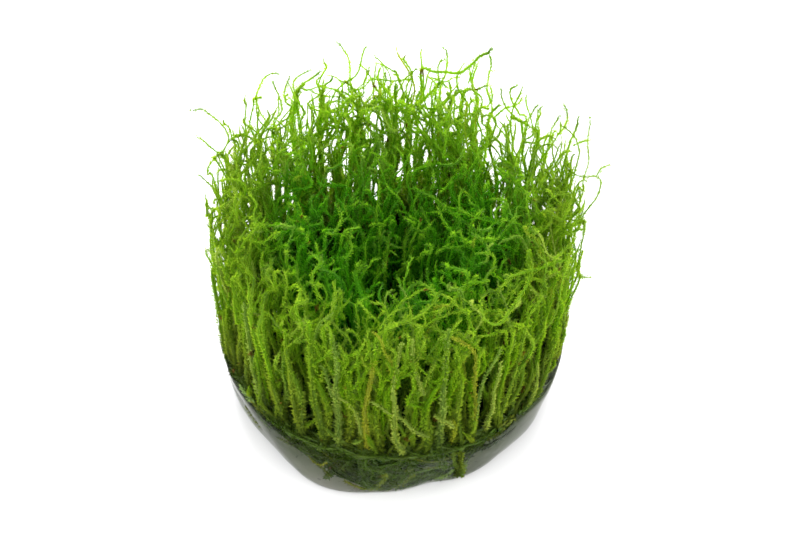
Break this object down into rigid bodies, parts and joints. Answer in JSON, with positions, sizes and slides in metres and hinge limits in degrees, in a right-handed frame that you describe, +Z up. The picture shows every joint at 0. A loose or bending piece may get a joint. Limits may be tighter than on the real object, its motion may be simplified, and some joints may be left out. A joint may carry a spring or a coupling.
{
  "type": "java moss on a clear bowl-shaped gel base",
  "caption": "Upright lawn of green water moss growing out of a shallow clear gel bowl with a flat foot.",
  "frame": {"origin": "centre of the bowl's flat foot, on the surface that it stands on", "axes": "+Z up along the shoots; -Y is the side that faces the picture's camera; +X is to its right"},
  "size_m": [0.0969, 0.0877, 0.075],
  "materials": {
    "clear_gel": "clear soft gel, faintly grey-green, wet gloss",
    "wet_moss": "wet matted moss, dark green",
    "moss_green": "small-leaved moss shoots, satin, slightly translucent"
  },
  "bodies": {
    "root": {"bowl": "clear_gel", "moss_mat": "wet_moss", "moss_tuft_01": "moss_green", "moss_tuft_02": "moss_green", "moss_tuft_03": "moss_green", "moss_tuft_04": "moss_green", "moss_tuft_05": "moss_green", "moss_tuft_06": "moss_green", "moss_tuft_07": "moss_green", "moss_tuft_08": "moss_green", "moss_tuft_09": "moss_green", "moss_tuft_10": "moss_green", "moss_tuft_11": "moss_green", "moss_tuft_12": "moss_green", "moss_tuft_13": "moss_green", "moss_tuft_14": "moss_green", "moss_tuft_15": "moss_green", "moss_tuft_16": "moss_green", "moss_tuft_17": "moss_green", "moss_tuft_18": "moss_green", "moss_tuft_19": "moss_green", "moss_tuft_20": "moss_green", "moss_tuft_21": "moss_green", "moss_tuft_22": "moss_green", "moss_tuft_23": "moss_green", "moss_tuft_24": "moss_green", "moss_tuft_25": "moss_green", "moss_tuft_26": "moss_green", "moss_tuft_27": "moss_green", "moss_tuft_28": "moss_green", "moss_tuft_29": "moss_green", "moss_tuft_30": "moss_green", "moss_tuft_31": "moss_green", "moss_tuft_32": "moss_green", "moss_tuft_33": "moss_green", "moss_tuft_34": "moss_green"}
  },
  "joints": []
}
